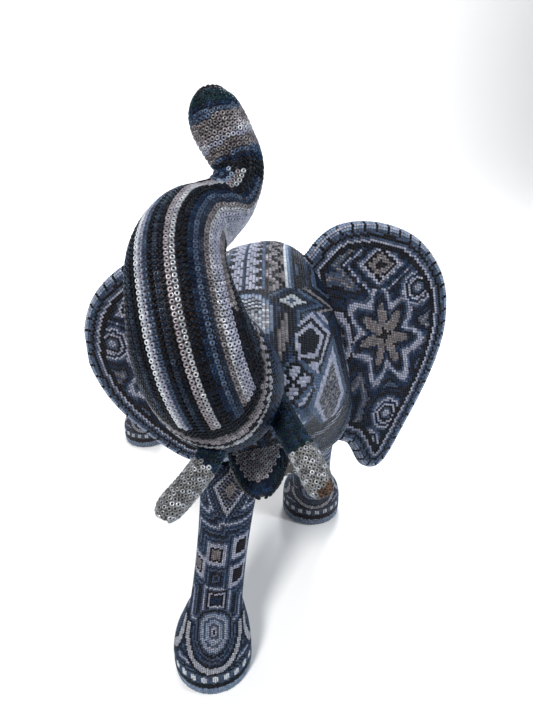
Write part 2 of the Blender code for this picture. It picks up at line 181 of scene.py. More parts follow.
# A tone: three shades of base colour, then metallic and roughness
TONES = {
    "black": (((0.002, 0.003, 0.005), (0.005, 0.008, 0.014), (0.004, 0.004, 0.006)), 0.0, 0.13),
    "teal": (((0.004, 0.014, 0.018), (0.007, 0.024, 0.031), (0.003, 0.008, 0.012)), 0.2, 0.15),
    "gunmetal": (((0.020, 0.029, 0.048), (0.034, 0.046, 0.070), (0.014, 0.020, 0.036)), 0.5, 0.18),
    "navy": (((0.006, 0.014, 0.034), (0.011, 0.026, 0.058), (0.004, 0.008, 0.020)), 0.2, 0.14),
    "slate": (((0.046, 0.068, 0.112), (0.066, 0.094, 0.148), (0.032, 0.048, 0.084)), 0.4, 0.20),
    "sky": (((0.150, 0.200, 0.280), (0.200, 0.255, 0.340), (0.110, 0.152, 0.225)), 0.2, 0.22),
    "lavender": (((0.235, 0.245, 0.310), (0.300, 0.310, 0.375), (0.180, 0.190, 0.250)), 0.25, 0.22),
    "silver": (((0.290, 0.300, 0.325), (0.380, 0.390, 0.415), (0.215, 0.225, 0.250)), 0.45, 0.22),
    "white": (((0.430, 0.455, 0.490), (0.520, 0.545, 0.575), (0.340, 0.365, 0.400)), 0.1, 0.20),
    "taupe": (((0.140, 0.128, 0.134), (0.190, 0.175, 0.182), (0.098, 0.090, 0.095)), 0.45, 0.22),
    "rose": (((0.235, 0.212, 0.232), (0.300, 0.275, 0.296), (0.178, 0.160, 0.178)), 0.4, 0.22),
    "bronze": (((0.075, 0.046, 0.030), (0.110, 0.068, 0.044), (0.050, 0.031, 0.021)), 0.5, 0.25),
    "pewter": (((0.150, 0.152, 0.154), (0.205, 0.208, 0.212), (0.105, 0.107, 0.110)), 0.35, 0.22),
}
BLACK, TEAL, GUN, NAVY, SLATE, SKY, LAV, SILVER, WHITE, TAUPE, ROSE, BRONZE, PEWTER = range(len(TONES))
GLINT = (0.62, 0.78, 1.0)  # the blue that the glass adds to what it reflects
SHADES = 3
SHADE_ODDS = (0.5, 0.27, 0.23)
GLASS_SHINE, WOOD_SHINE = 0.10, 0.15  # specular levels
# A bead hole's colour: the dark wax at its bottom, darkened further to near black as painted shade in the
# recess
HOLE_SHADE_COLOUR = (0.006, 0.005, 0.006)


def shader_of(material):
    material.use_nodes = True
    return material.node_tree.nodes["Principled BSDF"]


def speckled_roughness(material, low, high, scale):
    """Roughness that wanders between low and high over the surface. Returns the noise that it follows."""
    tree = material.node_tree
    place = tree.nodes.new("ShaderNodeTexCoord")
    noise = tree.nodes.new("ShaderNodeTexNoise")
    noise.inputs["Scale"].default_value = scale
    noise.inputs["Detail"].default_value = 2.0
    spread = tree.nodes.new("ShaderNodeMapRange")
    spread.inputs["To Min"].default_value = low
    spread.inputs["To Max"].default_value = high
    tree.links.new(place.outputs["Object"], noise.inputs["Vector"])
    tree.links.new(noise.outputs["Fac"], spread.inputs["Value"])
    tree.links.new(spread.outputs["Result"], shader_of(material).inputs["Roughness"])
    return noise


def glass_tones():
    """The bead materials, three shades for each tone, then the dark of a bead's hole: the wax at its bottom,
    darkened further to near black as painted shade.
    """
    made = []
    for name, (shades, metallic, roughness) in TONES.items():
        for number, colour in enumerate(shades):
            material = bpy.data.materials.new(f"{name}_glass_{number + 1}")
            shader = shader_of(material)
            shader.inputs["Base Color"].default_value = (*colour, 1.0)
            shader.inputs["Metallic"].default_value = metallic
            shader.inputs["Specular Tint"].default_value = (*GLINT, 1.0)
            shader.inputs["Specular IOR Level"].default_value = GLASS_SHINE
            speckled_roughness(material, roughness * 0.7, roughness * 1.5, 420.0)
            made.append(material)
    # The hole's material: near black, darker than the wax, painted shade in each bead's hole
    hole = bpy.data.materials.new("bead_hole_shade")
    shader = shader_of(hole)
    shader.inputs["Base Color"].default_value = (*HOLE_SHADE_COLOUR, 1.0)
    shader.inputs["Specular IOR Level"].default_value = GLASS_SHINE
    speckled_roughness(hole, 0.55, 0.8, 300.0)
    made.append(hole)
    return made


def grained(name, dark, light, scale, roughness, bump, stretch=(1, 1, 1)):
    """Two colours through a noise on the object's own coordinates, with a bump from the same noise."""
    material = bpy.data.materials.new(name)
    shader = shader_of(material)
    noise = speckled_roughness(material, roughness * 0.85, roughness * 1.15, scale)
    noise.inputs["Detail"].default_value = 6.0
    tree = material.node_tree
    mapping = tree.nodes.new("ShaderNodeMapping")
    mapping.inputs["Scale"].default_value = stretch
    place = next(node for node in tree.nodes if node.bl_idname == "ShaderNodeTexCoord")
    ramp = tree.nodes.new("ShaderNodeValToRGB")
    ramp.color_ramp.elements[0].position = 0.32
    ramp.color_ramp.elements[0].color = (*dark, 1.0)
    ramp.color_ramp.elements[1].position = 0.68
    ramp.color_ramp.elements[1].color = (*light, 1.0)
    relief = tree.nodes.new("ShaderNodeBump")
    relief.inputs["Strength"].default_value = bump
    relief.inputs["Distance"].default_value = 0.0004
    tree.links.new(place.outputs["Object"], mapping.inputs["Vector"])
    tree.links.new(mapping.outputs["Vector"], noise.inputs["Vector"])
    tree.links.new(noise.outputs["Fac"], ramp.inputs["Fac"])
    tree.links.new(noise.outputs["Fac"], relief.inputs["Height"])
    tree.links.new(ramp.outputs["Color"], shader.inputs["Base Color"])
    tree.links.new(relief.outputs["Normal"], shader.inputs["Normal"])
    shader.inputs["Specular IOR Level"].default_value = WOOD_SHINE
    return material


# ------------ smooth surfaces

SPAN_SAMPLES = 10
HALF_TURN_SAMPLES = 72
CAP_SHARES = (0.85, 0.65, 0.45, 0.25, 0.06)  # of the last ring, for the rings that close an end
LEAST_RADIUS = 0.5  # of a ring, where a curve through the stations would go below it
RIGHT_SEAM, LEFT_SEAM = 0.5, 0.55  # share of a column step kept free of beads, beside the seam


def unit(vectors):
    return vectors / np.maximum(np.linalg.norm(vectors, axis=-1, keepdims=True), 1e-9)


def lengths_along(points):
    """How far along a path each of its points is."""
    return np.concatenate([[0], np.cumsum(np.linalg.norm(np.diff(points, axis=0), axis=1))])


def span(a, b, c, d, samples):
    """Catmull-Rom samples from b to just before c."""
    t = (np.arange(samples) / samples)[:, None]
    return 0.5 * (2 * b + (c - a) * t + (2 * a - 5 * b + 4 * c - d) * t ** 2
                  + (3 * b - a - 3 * c + d) * t ** 3)


def curve_through(rows, samples):
    """A smooth curve through rows of numbers."""
    rows = np.array(rows, float)
    padded = np.vstack([2 * rows[0] - rows[1], rows, 2 * rows[-1] - rows[-2]])
    spans = [span(*four, samples) for four in zip(padded, padded[1:], padded[2:], padded[3:])]
    return np.vstack(spans + [rows[-1:]])


def closed_curve(points, samples):
    """A smooth closed outline through points."""
    points = np.array(points, float)
    turned = [np.roll(points, shift, axis=0) for shift in (1, 0, -1, -2)]
    return np.vstack([span(*four, samples) for four in zip(*turned)])


def between(rows, where):
    """Rows of numbers at places between two rows."""
    low = np.minimum(where.astype(int), len(rows) - 2)
    share = (where - low)[:, None]
    return rows[low] * (1 - share) + rows[low + 1] * share


def on_each_ring(values, turn):
    """The values at one place of each ring, which may be between two of its points."""
    low = np.minimum(turn.astype(int), values.shape[1] - 2)
    share = (turn - low)[:, None]
    ring = np.arange(len(values))
    return values[ring, low] * (1 - share) + values[ring, low + 1] * share


def bridged(rings):
    """A closed bmesh over rings of places, with a cap on its first and last ring."""
    bm = bmesh.new()
    loops = []
    for number, places in enumerate(rings):
        made = bmesh.ops.create_circle(
            bm, cap_ends=number in (0, len(rings) - 1), segments=len(places), radius=1.0)
        for vertex, place in zip(made["verts"], places):
            vertex.co = Vector(place) * MM
        loops.append(list(dict.fromkeys(edge for vertex in made["verts"] for edge in vertex.link_edges)))
    for near, far in zip(loops, loops[1:]):
        bmesh.ops.bridge_loops(bm, edges=near + far)
    bmesh.ops.recalc_face_normals(bm, faces=bm.faces)
    return bm


class Surface:
    """A part's smooth outside: points and normals on a grid of rings by turns from the centre line.

    A station is a middle, a half width and a half height. Its width and height lie along the two
    directions in across, or, with a hint, the width stays near the hint as the path bends. The centre
    line is at an angle in degrees from the width. A power over 2 makes a ring squarer, and a taper makes
    it narrower at the top."""

    def __init__(self, to_world, stations, centre_line, across=None, power=2.0, taper=0.0, hint=None):
        rows = curve_through(stations, SPAN_SAMPLES)
        rows[:, 3:] = np.maximum(rows[:, 3:], LEAST_RADIUS)
        heads = [np.hstack([rows[0, :3], rows[0, 3:] * share]) for share in reversed(CAP_SHARES)]
        tails = [np.hstack([rows[-1, :3], rows[-1, 3:] * share]) for share in CAP_SHARES]
        centres = rows[:, :3]
        ways = unit(np.gradient(centres, axis=0))
        ways = np.vstack([ways[:1]] * len(heads) + [ways] + [ways[-1:]] * len(tails))
        rows = np.vstack(heads + [rows] + tails)
        if hint is None:
            aside = np.tile(np.array(across[0], float), (len(rows), 1))
            up = np.tile(np.array(across[1], float), (len(rows), 1))
        else:
            hint = np.array(hint, float)
            aside = unit(hint - ways * (ways @ hint)[:, None])
            up = np.cross(ways, aside)
        turn = math.radians(centre_line) + np.linspace(-math.pi, math.pi, 2 * HALF_TURN_SAMPLES + 1)
        c = np.sign(np.cos(turn)) * np.abs(np.cos(turn)) ** (2 / power)
        s = np.sign(np.sin(turn)) * np.abs(np.sin(turn)) ** (2 / power)
        wide = rows[:, 3, None] * c * (1 - taper * s)
        high = rows[:, 4, None] * s
        local = rows[:, None, :3] + aside[:, None] * wide[..., None] + up[:, None] * high[..., None]
        matrix = np.array(to_world)
        grid = local @ matrix[:3, :3].T + matrix[:3, 3]
        lengthwise = np.gradient(grid, axis=0)
        around = np.gradient(grid, axis=1)
        around[:, 0] = around[:, -1] = (grid[:, 1] - grid[:, -2]) / 2
        normals = unit(np.cross(around, lengthwise))
        middle = grid.mean(axis=1, keepdims=True)
        if ((grid - middle) * normals).sum() < 0:
            normals = -normals
        self.grid, self.normals = grid, normals
        self.along = lengths_along(rows[:, :3])

    def offset(self, distance):
        return self.grid + self.normals * distance

    def wax(self):
        """The closed wax bed, on every second ring and every third point."""
        return bridged(self.offset(WAX_RISE)[::2, :-1:3])


def lay_columns(surface, row_step, column_step, flip=False):
    """Beads in lengthwise columns, counted from the centre line. Each bead is a row of numbers: its place,
    where it faces, its column, its number in the column and how far along the part it is."""
    grid = surface.offset(BEAD_RISE)
    rings = np.arange(len(grid))
    half = grid.shape[1] // 2
    around = np.linalg.norm(np.diff(grid, axis=1), axis=2)
    centre = np.zeros((len(grid), 1))
    right = np.hstack([centre, np.cumsum(around[:, half:], axis=1)])
    left = np.hstack([centre, np.cumsum(around[:, :half][:, ::-1], axis=1)])
    front = lengths_along(grid[:, half])
    last = int(max(right[:, -1].max(), left[:, -1].max()) / column_step)
    beads = []
    for column in range(-last, last + 1):
        arc, seam = (right, RIGHT_SEAM) if column >= 0 else (left, LEFT_SEAM)
        reach = abs(column) * column_step
        turn = np.array([np.interp(reach, row, np.arange(half + 1)) for row in arc])
        turn = half + turn if column >= 0 else half - turn
        place, normal = on_each_ring(grid, turn), on_each_ring(surface.normals, turn)
        stagger = row_step / 2 if column % 2 else 0.0
        inside = arc[:, -1] - reach > column_step * seam
        edges = np.flatnonzero(np.diff(np.concatenate([[0], inside.astype(int), [0]])))
        for start, end in zip(edges[::2], edges[1::2]):
            length = lengths_along(place[start:end])
            stops = np.arange((stagger - front[start]) % row_step, length[-1], row_step)
            if len(stops):
                where = np.interp(stops, length, rings[start:end])
                number = np.round((np.interp(where, rings, front) - stagger) / row_step)
                beads.append(np.column_stack([
                    between(place, where), unit(between(normal, where)),
                    np.full(len(stops), -column if flip else column), number,
                    np.interp(where, rings, surface.along)]))
    return np.vstack(beads)


def thin_out(beads, closest):
    """Drops beads that crowd one of a column nearer the centre line, or an earlier one of their own."""
    tree = KDTree(len(beads))
    for number, place in enumerate(beads[:, :3]):
        tree.insert(place, number)
    tree.balance()
    order = np.argsort(np.abs(beads[:, 6]), kind="stable")
    rank = np.empty(len(beads), int)
    rank[order] = np.arange(len(beads))
    kept = np.ones(len(beads), bool)
    for number in order:
        if kept[number]:
            for _, other, _ in tree.find_range(beads[number, :3], closest):
                if rank[other] > rank[number]:
                    kept[other] = False
    return beads[kept]


# ------------ ears

EAR_SAMPLES = 12
EDGE_ROWS = 4  # rows of beads round a quarter of the rim
RIM_WAX_RINGS = 9
FACE_SHARES = (0.02, 0.3, 0.6, 0.85)  # of the face's outline, for the wax rings on it
FACE_MARGIN = 0.45  # share of a row kept free of beads between the rim's rows and the face's


def spread_out(loop, distance):
    """The clockwise loop moved outwards."""
    way = unit(np.roll(loop, -1, axis=0) - np.roll(loop, 1, axis=0))
    return loop + np.column_stack([-way[:, 1], way[:, 0]]) * distance


def even_stops(loop, step):
    """Evenly spaced places round a closed loop."""
    closed = np.vstack([loop, loop[:1]])
    length = lengths_along(closed)
    count = max(int(round(length[-1] / step)), 3)
    stops = np.arange(count) * length[-1] / count
    return np.column_stack([np.interp(stops, length, closed[:, k]) for k in (0, 1)])


def within(points, loop):
    """Which points are inside a loop, how far each is from it, and how far along it that is."""
    inside = np.zeros(len(points), bool)
    nearest = np.full(len(points), 1e9)
    along = np.zeros(len(points))
    walked = 0.0
    for a, b in zip(loop, np.roll(loop, -1, axis=0)):
        crosses = (a[1] > points[:, 1]) != (b[1] > points[:, 1])
        rise = b[1] - a[1] if b[1] != a[1] else 1e-9
        inside ^= crosses & (points[:, 0] < (b[0] - a[0]) * (points[:, 1] - a[1]) / rise + a[0])
        way = b - a
        share = np.clip(((points - a) @ way) / max(way @ way, 1e-9), 0, 1)
        gap = np.linalg.norm(points - a - share[:, None] * way, axis=1)
        along = np.where(gap < nearest, walked + share * np.linalg.norm(way), along)
        nearest = np.minimum(nearest, gap)
        walked += np.linalg.norm(way)
    return inside, nearest, along


class Ear:
    """An ear's outside: flat places with a depth (backwards), curled forward and turned about its root."""

    def __init__(self, side, rise):
        sign, sweep = (1 if side == "left" else -1), math.radians(EAR_SWEEP[side])
        self.root = np.array(EAR_ROOT[side])
        self.out = np.array((sign * math.cos(sweep), math.sin(sweep), 0))
        self.back = np.array((-sign * math.sin(sweep), math.cos(sweep), 0))
        self.up = np.array((0, 0, 1.0))
        self.matrix = np.array(HEAD)
        self.rim = EAR_RIM + rise
        self.half = EAR_THICKNESS / 2 + rise
        outline = closed_curve(EAR_OUTLINE + EAR_TIPS[side], EAR_SAMPLES)
        self.edge = spread_out(outline, rise)
        self.flat_edge = spread_out(outline, -EAR_RIM)

    def placed(self, flat, depth):
        curl = EAR_DISH * (np.maximum(flat[:, 0], 0) / EAR_REACH) ** 2
        local = (self.root + flat[:, :1] * self.out + flat[:, 1:2] * self.up
                 + (depth - curl)[:, None] * self.back)
        return local @ self.matrix[:3, :3].T + self.matrix[:3, 3]

    def turned(self, flat_way, depth_way):
        local = flat_way[:, :1] * self.out + flat_way[:, 1:2] * self.up + depth_way * self.back
        return unit(local @ self.matrix[:3, :3].T)

    def rim_loop(self, turn):
        """The outline at a turn round the rim, from the front at minus a quarter to the back."""
        return spread_out(self.edge, -self.rim * (1 - math.cos(turn)))

    def beads(self):
        """Rows round the rim, then straight rows over each face. Each bead is a row of numbers: its place,
        where it faces, its flat place, how many beads it lies in from the edge, and how far along it."""
        beads = []
        for number in range(-EDGE_ROWS, EDGE_ROWS + 1):
            turn = number / EDGE_ROWS * math.pi / 2
            loop = even_stops(self.rim_loop(turn), ROW_STEP)
            way = unit(np.roll(loop, -1, axis=0) - np.roll(loop, 1, axis=0))
            outwards = np.column_stack([-way[:, 1], way[:, 0]]) * math.cos(turn)
            place = self.placed(loop, self.half * math.sin(turn))
            facing = self.turned(outwards, math.sin(turn))
            deep = np.full(len(loop), abs(number))
            beads.append(np.column_stack([place, facing, loop, deep, within(loop, self.edge)[2]]))
        low, high = self.flat_edge.min(axis=0), self.flat_edge.max(axis=0)
        across = np.arange(low[0], high[0], COLUMN_STEP)
        upward = np.arange(low[1], high[1], ROW_STEP)
        field = np.array([(x, y + i % 2 * ROW_STEP / 2) for i, x in enumerate(across) for y in upward])
        inside, nearest, walked = within(field, self.flat_edge)
        chosen = inside & (nearest > ROW_STEP * FACE_MARGIN)
        field, nearest, walked = field[chosen], nearest[chosen], walked[chosen]
        for side in (-1, 1):
            place = self.placed(field, side * self.half)
            facing = self.turned(np.zeros_like(field), side)
            deep = EDGE_ROWS + nearest / ROW_STEP
            beads.append(np.column_stack([place, facing, field, deep, walked]))
        return np.vstack(beads)

    def wax(self):
        """The closed wax bed: rings from the front's middle round the rim to the back's middle."""
        middle = self.flat_edge.mean(axis=0)
        face = [middle + (self.flat_edge - middle) * share for share in FACE_SHARES]
        rings = [(loop, -self.half) for loop in face]
        rings += [(self.rim_loop(turn), self.half * math.sin(turn))
                  for turn in np.linspace(-math.pi / 2, math.pi / 2, RIM_WAX_RINGS)]
        rings += [(loop, self.half) for loop in reversed(face)]
        return bridged([self.placed(loop[::2], depth) for loop, depth in rings])


# ------------ patterns
#
# A part's tone maker gets arrays: each bead's column k, its number r in the column, how far along the part
# it is, and the beads' own rows. A motif is an outline (how many beads out from it each bead is, less than
# nothing inside), the tones of the rings round it, and the tone or tones that fill it.

AWAY = 90.0  # beads, further than any motif reaches


def nested(tones, distance, rings):
    """Paints one tone for each bead of distance, over what is there."""
    number = np.floor(distance).astype(int)
    inside = (number >= 0) & (number < len(rings))
    tones[inside] = np.array(rings)[number[inside]]


def cycle(number, tones):
    """The tones over and over, by number."""
    return np.array(tones)[np.mod(number.astype(int), len(tones))]


def lined(tones, columns, lines):
    """Gives whole columns a tone of their own."""
    for column, tone in lines.items():
        tones = np.where(columns == column, tone, tones)
    return tones


def zigzag(u, period):
    """A triangle wave from 0 to half the period."""
    return np.abs(np.mod(u, period) - period / 2)


def diamond(u, v):
    return np.abs(u) + np.abs(v)


def many_sided(u, v, sides, radius, turn=0.0):
    """The outline of a regular figure."""
    angle = np.mod(np.arctan2(v, u) - turn, math.tau / sides) - math.pi / sides
    return np.hypot(u, v) * np.cos(angle) - radius


def starry(u, v, points, radius, depth, turn=0.0):
    """An outline with soft points."""
    return np.hypot(u, v) - radius - depth * np.cos(points * (np.arctan2(v, u) - turn))


def cells(k, r, wide, tall):
    """Each bead's place from the middle of its own cell. Every other column of cells is raised."""
    number = np.floor(k / wide + 0.5)
    lift = np.where(np.mod(number, 2) > 0.5, tall / 2, 0.0)
    return k - number * wide, np.mod(r + lift, tall) - tall / 2


def paint_motifs(motifs, contours):
    """Each bead goes to the motif whose outline is nearest. Inside the outline it has the motif's filling,
    outside it the motif's own rings, and past them the contours that fill the field."""
    reaches = np.stack([outline for outline, _, _ in motifs])
    nearest = np.argmin(reaches, axis=0)
    reach = reaches.min(axis=0)
    tones = cycle(np.maximum(reach, 0), contours)
    for number, (outline, rings, filling) in enumerate(motifs):
        mine = nearest == number
        tones = np.where(mine & (outline < 0), filling, tones)
        nested(tones, np.where(mine, outline, AWAY), rings)
    return tones


# Lengthwise stripes of the trunk, one bead each, from STRIPES_FROM columns left of the centre line
STRIPES = (BLACK, GUN, BLACK, BLACK, GUN, BLACK, BLACK, WHITE, LAV, SLATE, BLACK, GUN, BLACK, ROSE, SILVER,
           BLACK, BLACK, NAVY, SLATE, GUN, TAUPE, SILVER, LAV, LAV, TAUPE, TAUPE, BLACK, BLACK, GUN, BLACK,
           BLACK, LAV, SLATE, BLACK, TAUPE, BLACK)
STRIPES_FROM = -12
TIP_BANDS = (BLACK, BLACK, NAVY, SLATE, TAUPE, TAUPE, LAV, SILVER, ROSE, TAUPE, TAUPE, SLATE, NAVY,
             TEAL, TEAL, BLACK, TEAL, TEAL, BLACK)
TRUNK_COLLAR = (BLACK, BLACK, TAUPE, ROSE, BLACK, SILVER, BLACK, NAVY, BLACK)
COLLAR_TOP, COLLAR_BEND, COLLAR_MIDDLE = 102.0, 0.045, 2
TIP_START, TIP_SLANT, TIP_SLANT_REACH = 200.0, -0.04, 9
PETAL_COLUMN, PETAL_PLACE, PETAL_SIZE = -3, 192.0, (4.0, 8.0)
NAPE_COLUMN, NAPE_START, NAPE_REACH = 15, 160.0, 4  # the pale field behind the bend
SPLIT_COLUMNS, SPLIT = (12, 13), (102.0, 124.0)  # a dark wedge that splits a stripe


def trunk_tones(k, r, along, beads):
    tones = cycle(k - STRIPES_FROM, STRIPES)
    nape = (np.abs(k - NAPE_COLUMN) < NAPE_REACH) & (along > NAPE_START)
    tones = np.where(nape, np.where(np.mod(k + r, 3) > 0, LAV, SILVER), tones)
    wide, tall = PETAL_SIZE
    petal = np.hypot((k - PETAL_COLUMN) / wide, (along - PETAL_PLACE) / tall) * wide
    nested(tones, petal, (NAVY, SLATE, NAVY, SKY))
    split = np.isin(k, SPLIT_COLUMNS) & (along > SPLIT[0]) & (along < SPLIT[1])
    tones = np.where(split, BLACK, tones)
    slant = TIP_SLANT * np.clip(k, -TIP_SLANT_REACH, TIP_SLANT_REACH)
    upper = (along - TIP_START - slant) / ROW_STEP
    tones = np.where(upper >= 0, TEAL, tones)
    nested(tones, upper, TIP_BANDS)
    lower = (COLLAR_TOP + COLLAR_BEND * (k - COLLAR_MIDDLE) ** 2 - along) / ROW_STEP
    tones = np.where(lower >= 0, NAVY, tones)
    nested(tones, lower, TRUNK_COLLAR)
    return tones


TUSK_ROOT = 37.5  # along a tusk, where its dark root ends
WORN_REACH = 4.6  # from the left tusk's tip, which is worn down to the wax


def tusk_tones(k, r, along, beads):
    tones = np.where(np.mod(k * 7 + r * 3, 9) < 3, SILVER, PEWTER)
    tip = beads[np.argmax(along), :3]
    if (HEAD.inverted() @ Vector(tip)).x > 0:
        tones[np.linalg.norm(beads[:, :3] - tip, axis=1) < WORN_REACH] = BRONZE
    root = np.where(np.mod(k + r, 2) < 1, NAVY, TEAL)
    return np.where(along < TUSK_ROOT, root, tones)


LIP_STOPS, LIP_COLUMNS = (0, 18, 33, 45, 52), (9.0, 9.5, 8.0, 5.0, 2.5)  # the pale inside's width along it
LIP_NAVY, LIP_TEAL, LIP_TIP = 2.2, 1.0, 3.5  # how far in from the edge two dark rows start, and the tip


def lip_tones(k, r, along, beads):
    tones = np.where(np.mod(k + r, 3) < 1, ROSE, SILVER)
    width = np.interp(along, LIP_STOPS, LIP_COLUMNS)
    tones[np.abs(k) > width - LIP_NAVY] = NAVY
    tones[np.abs(k) > width - LIP_TEAL] = TEAL
    tones[along > LIP_STOPS[-1] - LIP_TIP] = NAVY
    tones[np.abs(k) > width] = BLACK
    return tones


FACE_AXIS = (0.0, -0.92, 0.40)  # where the face looks, in the head's own axes
GRAZING = 0.05  # beads that face that way less than this are left out of a motif


def around(beads, column, row):
    """Each bead's place, in beads, sideways and upwards from the bead at a column and row, seen from where
    the face looks. What faces another way is far off."""
    chosen = np.argmin(np.hypot(beads[:, 6] - column, beads[:, 7] - row))
    facing = unit(np.array(HEAD.to_3x3() @ Vector(FACE_AXIS)))
    up = unit(np.array((0, 0, 1.0)) - facing * facing[2])
    aside = np.cross(up, facing)
    shift = (beads[:, :3] - beads[chosen, :3]) / ROW_STEP
    away = (beads[:, 3:6] @ facing < GRAZING) | (beads[:, 6] * column < 0)
    sign = 1 if column < 0 else -1
    return np.where(away, AWAY, shift @ aside * sign), np.where(away, AWAY, shift @ up)


# Places on the face, as a column and a row
EYE, GEM, WEDGE, FLOWER, LEAF, BEND = (20, 34), (14, 47), (11, 28), (14, 15), (43, 39), (29, 17)
JOWLS = ((98, 40, 5), (104, 70, 4), (62, 84, 5), (96, 92, 6))  # columns, rows and how many sides
JOWL_RADIUS, JOWL_RINGS = 3.0, (LAV, LAV, BLACK, TAUPE, SLATE, BLACK, NAVY)
BROW_ROW, BROW_SIZE = 35, (8, 12)  # the pale field between the eyes
HEM_COLUMNS, HEM_ROW, HEM_TOP = (60, 90), 56, 64  # dashes on the dark between cheek and ear
FOREHEAD_START, FOREHEAD_SLANT, FOREHEAD_HALF = 49, 0.3, 17  # first row, its rise a column, and columns
FOREHEAD_LINES = {6: SLATE, 13: WHITE, 14: SKY, 15: SLATE, 16: BLACK}
FACE_CONTOURS = (NAVY, BLACK, NAVY, BLACK, BLACK, NAVY, BLACK, SLATE, BLACK, NAVY, BLACK, SLATE, BLACK, BLACK)


def forehead_tones(side, r):
    """Lengthwise panels from the centre line outwards: a lattice, then steps, with lines between."""
    lattice = diamond(np.mod(side + 1, 6) - 3, np.mod(r, 6) - 3)
    tones = np.where((lattice > 0.5) & (lattice < 3.2), LAV, BLACK)
    tones = np.where(np.mod(side, 6) == 0, GUN, tones)
    steps = np.mod(zigzag(r, 12) + side * 1.5, 7)
    panel = np.where(steps < 2.5, TAUPE, np.where(steps < 3.5, ROSE, BLACK))
    tones = np.where(side > 6, panel, tones)
    return lined(tones, side, FOREHEAD_LINES)


def face_motifs(side, r, beads, sign):
    """The motifs on one side of the face."""
    def seen_from(place):
        return around(beads, sign * place[0], place[1])

    u, v = seen_from(EYE)
    eye = many_sided(u * 1.25, v * 0.92, 5, 2.7, math.pi / 2)
    u, v = seen_from(GEM)
    gem = diamond(u * 0.57, v * 1.1) - 2.0
    glint = np.where(np.hypot(u, v) < 0.8, SLATE, WHITE)
    u, v = seen_from(WEDGE)
    wedge = diamond(u, v * 0.20) - 1.4
    u, v = seen_from(FLOWER)
    flower = starry(u, v, 4, 2.8, 0.6)
    petals = np.where(np.minimum(np.abs(u + v), np.abs(u - v)) < 0.6, BLACK, LAV)
    u, v = seen_from(LEAF)
    leaf = diamond(u * 0.9, v * 0.28) - 2.8
    spots = np.where((np.mod(side, 3) == 0) & (np.mod(r, 3) == 0), BLACK,
                     np.where(np.mod(side + 2 * r, 5) < 3, TAUPE, NAVY))
    u, v = seen_from(BEND)
    bend = np.abs(u - 0.4 * np.abs(v)) + np.maximum(np.abs(v) - 4, 0) - 0.6
    return [
        (eye, (LAV, BLACK, LAV, SLATE, LAV, NAVY, BLACK), BLACK),
        (gem, (BLACK, NAVY, SLATE, BLACK, TAUPE, BLACK), glint),
        (wedge, (BLACK, NAVY, SLATE, BLACK), TAUPE),
        (flower, (BLACK, SLATE, LAV, BLACK), petals),
        (leaf, (LAV, SLATE, BLACK, NAVY), spots),
        (bend, (SLATE, NAVY, BLACK), LAV),
    ]


def head_tones(k, r, along, beads):
    side = np.abs(k)
    wide, tall = BROW_SIZE
    brow = (np.hypot(side / wide, (r - BROW_ROW) / tall) - 1) * wide
    dots = (np.mod(side + r, 2) == 0) & (r > BROW_ROW + 2) & (side < 6)
    pale = np.where(np.mod(side + r, 3) == 0, WHITE, np.where(side < 7, SILVER, ROSE))
    motifs = [(brow, (SKY, NAVY, BLACK), np.where(dots, NAVY, pale))]
    motifs += face_motifs(side, r, beads, -1) + face_motifs(side, r, beads, 1)
    for column, row, sides in JOWLS:
        jowl = many_sided(side - column, r - row, sides, JOWL_RADIUS)
        motifs.append((jowl, JOWL_RINGS, np.where(jowl > -JOWL_RADIUS / 2, BLACK, SLATE)))
    tones = paint_motifs(motifs, FACE_CONTOURS)
    hem = (side > HEM_COLUMNS[0]) & (side < HEM_COLUMNS[1]) & (r < HEM_TOP)
    dashes = (np.mod(side, 3) == 0) & (np.abs(r - HEM_ROW) < 3)
    dark = np.where(np.mod(side + r, 5) == 0, NAVY, BLACK)
    tones = np.where(hem, np.where(dashes, LAV, dark), tones)
    top = (r >= FOREHEAD_START + FOREHEAD_SLANT * side) & (side < FOREHEAD_HALF) & (brow > 3)
    return np.where(top, forehead_tones(side, r), tones)


RIM_RINGS = (SLATE, SKY, LAV, SKY, SLATE, BLACK, SLATE, LAV, BLACK, BLACK)
RIM_DASH, RIM_TICK, RIM_DEPTH = 11.0, 2.0, 4.2  # tick to tick, a tick's width, and beads deep
STAR_PLACE, STAR_RINGS = (44, -4), (NAVY, BLACK, NAVY, SLATE, LAV, LAV, SLATE, NAVY, NAVY, BLACK)
LENS_PLACE, LENS_RINGS = (49, 53), (LAV, LAV, SLATE, NAVY, BLACK, NAVY, SLATE, LAV, NAVY)
LOBE_PLACE, LOBE_RINGS = (4, 8), (BLACK, SLATE, LAV, LAV, BLACK, NAVY)
EAR_SPOTS, SPOT_RADIUS = ((79, 25), (36, -74), (12, -95)), 1.5
EAR_CONTOURS = (SLATE, NAVY, BLACK, NAVY, LAV, SLATE, NAVY, BLACK, NAVY, BLACK, SLATE, TAUPE)


